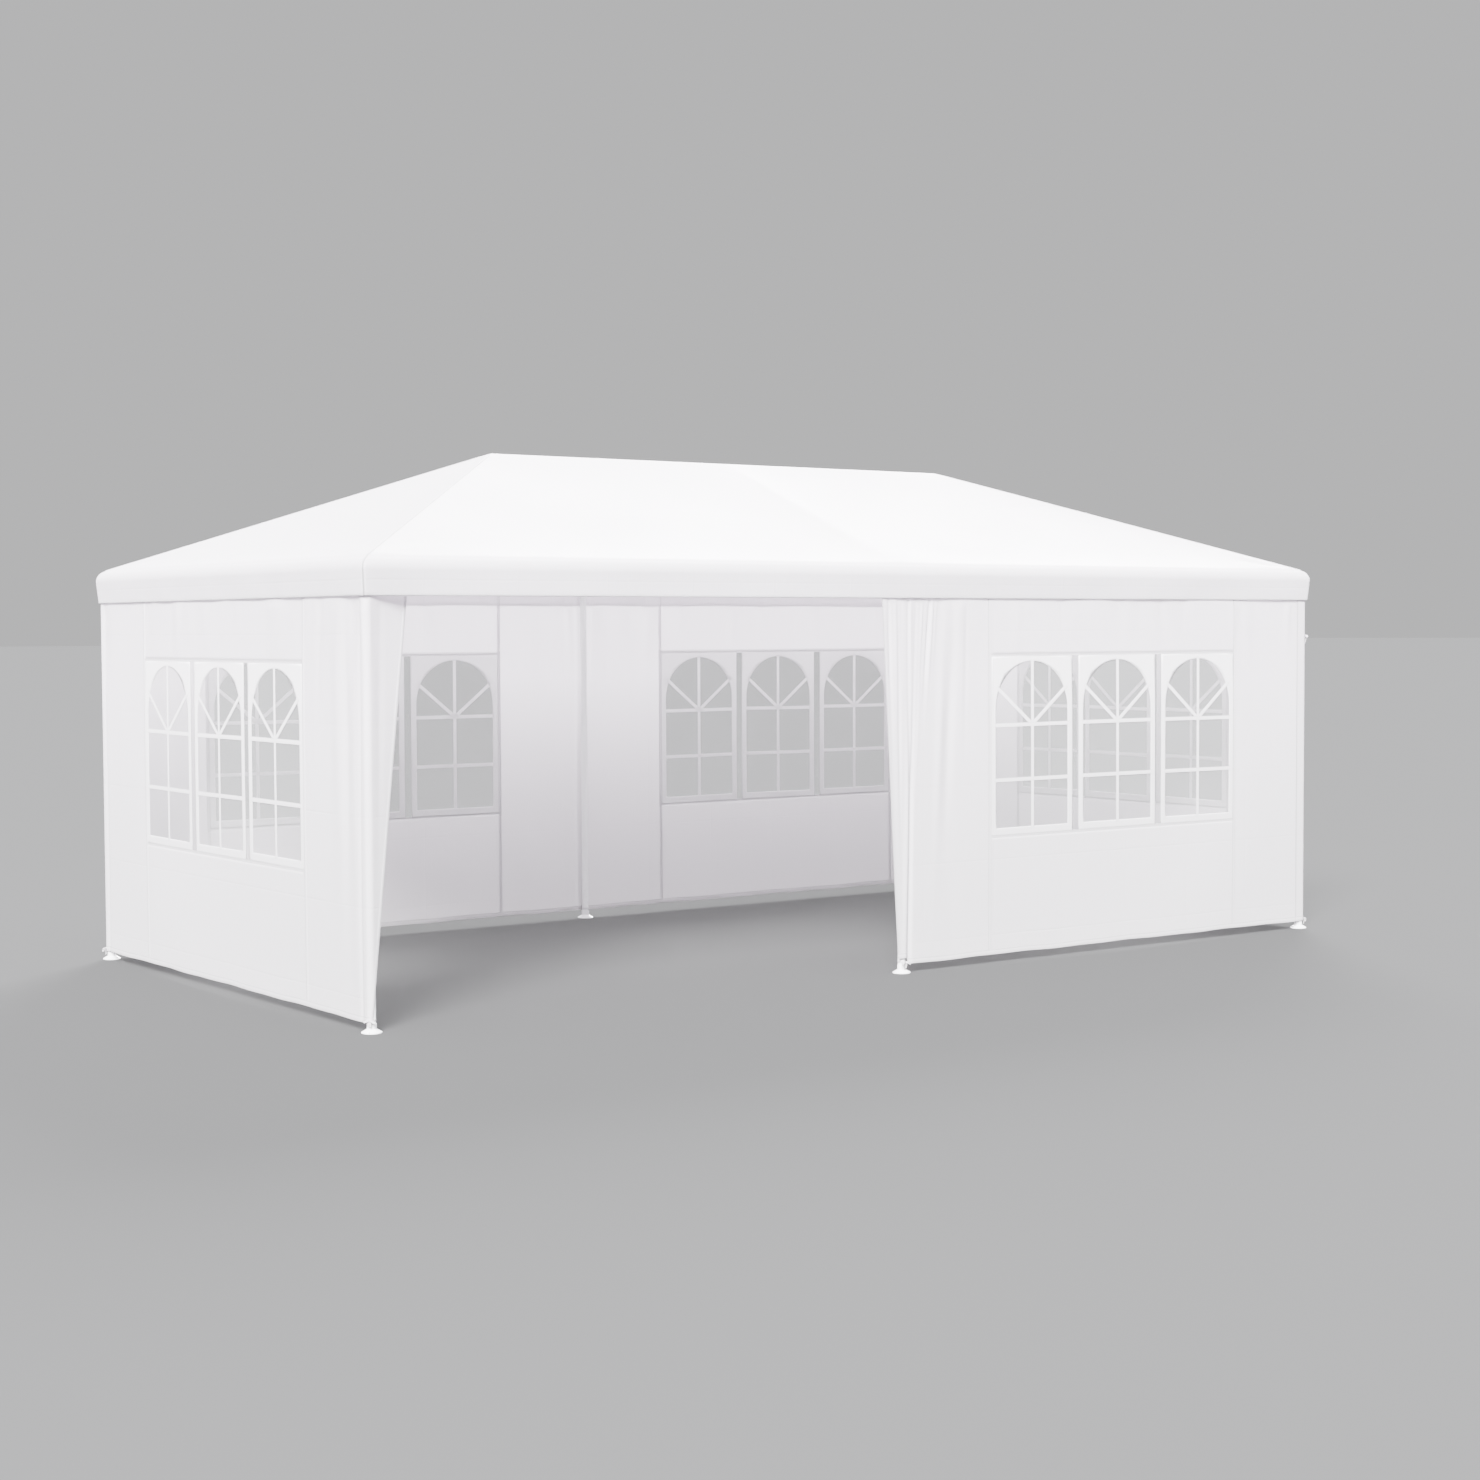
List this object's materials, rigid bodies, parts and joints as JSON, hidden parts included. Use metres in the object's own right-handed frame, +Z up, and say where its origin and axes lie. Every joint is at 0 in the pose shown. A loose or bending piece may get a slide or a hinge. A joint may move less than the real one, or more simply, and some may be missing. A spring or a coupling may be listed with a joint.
{
  "type": "marquee tent",
  "caption": "White garden party marquee: a hipped cover with a valance on a steel tube frame, arched window walls and an open bay.",
  "frame": {"origin": "centre of the footprint, on the ground", "axes": "+X along the ridge, from the open bay towards the walled one, +Y from the front to the back, +Z up"},
  "size_m": [5.99, 3.04, 2.6207],
  "materials": {
    "white_steel": "satin white powder coat",
    "joint_plastic": "moulded white plastic, matte",
    "cover_cloth": "coated woven white sheeting with a soft sheen",
    "wall_cloth": "coated woven white sheeting, matte",
    "clear_film": "clear soft window film, glossy"
  },
  "bodies": {
    "root": {"leg_front_left": "white_steel", "leg_front_middle": "white_steel", "leg_front_right": "white_steel", "leg_back_left": "white_steel", "leg_back_middle": "white_steel", "leg_back_right": "white_steel", "foot_front_left": "white_steel", "foot_front_middle": "white_steel", "foot_front_right": "white_steel", "foot_back_left": "white_steel", "foot_back_middle": "white_steel", "foot_back_right": "white_steel", "eave_joint_front_left": "joint_plastic", "eave_joint_front_middle": "joint_plastic", "eave_joint_front_right": "joint_plastic", "eave_joint_back_left": "joint_plastic", "eave_joint_back_middle": "joint_plastic", "eave_joint_back_right": "joint_plastic", "eave_rail_front_left": "white_steel", "eave_rail_front_right": "white_steel", "eave_rail_back_left": "white_steel", "eave_rail_back_right": "white_steel", "eave_rail_left_end": "white_steel", "eave_rail_right_end": "white_steel", "hip_rafter_front_left": "white_steel", "hip_rafter_front_right": "white_steel", "hip_rafter_back_left": "white_steel", "hip_rafter_back_right": "white_steel", "middle_rafter_front": "white_steel", "middle_rafter_back": "white_steel", "ridge_tube_left": "white_steel", "ridge_tube_right": "white_steel", "ridge_joint_left": "joint_plastic", "ridge_joint_middle": "joint_plastic", "ridge_joint_right": "joint_plastic", "roof_front_slope": "cover_cloth", "roof_back_slope": "cover_cloth", "roof_left_slope": "cover_cloth", "roof_right_slope": "cover_cloth", "valance_front": "cover_cloth", "valance_back": "cover_cloth", "valance_left": "cover_cloth", "valance_right": "cover_cloth", "wall_front_right": "wall_cloth", "wall_back_right": "wall_cloth", "wall_back_left": "wall_cloth", "wall_left": "wall_cloth", "wall_right": "wall_cloth", "wall_left_wrap": "wall_cloth", "window_film_front_right": "clear_film", "window_film_back_right": "clear_film", "window_film_back_left": "clear_film", "window_film_left": "clear_film", "window_film_right": "clear_film"}
  },
  "joints": []
}
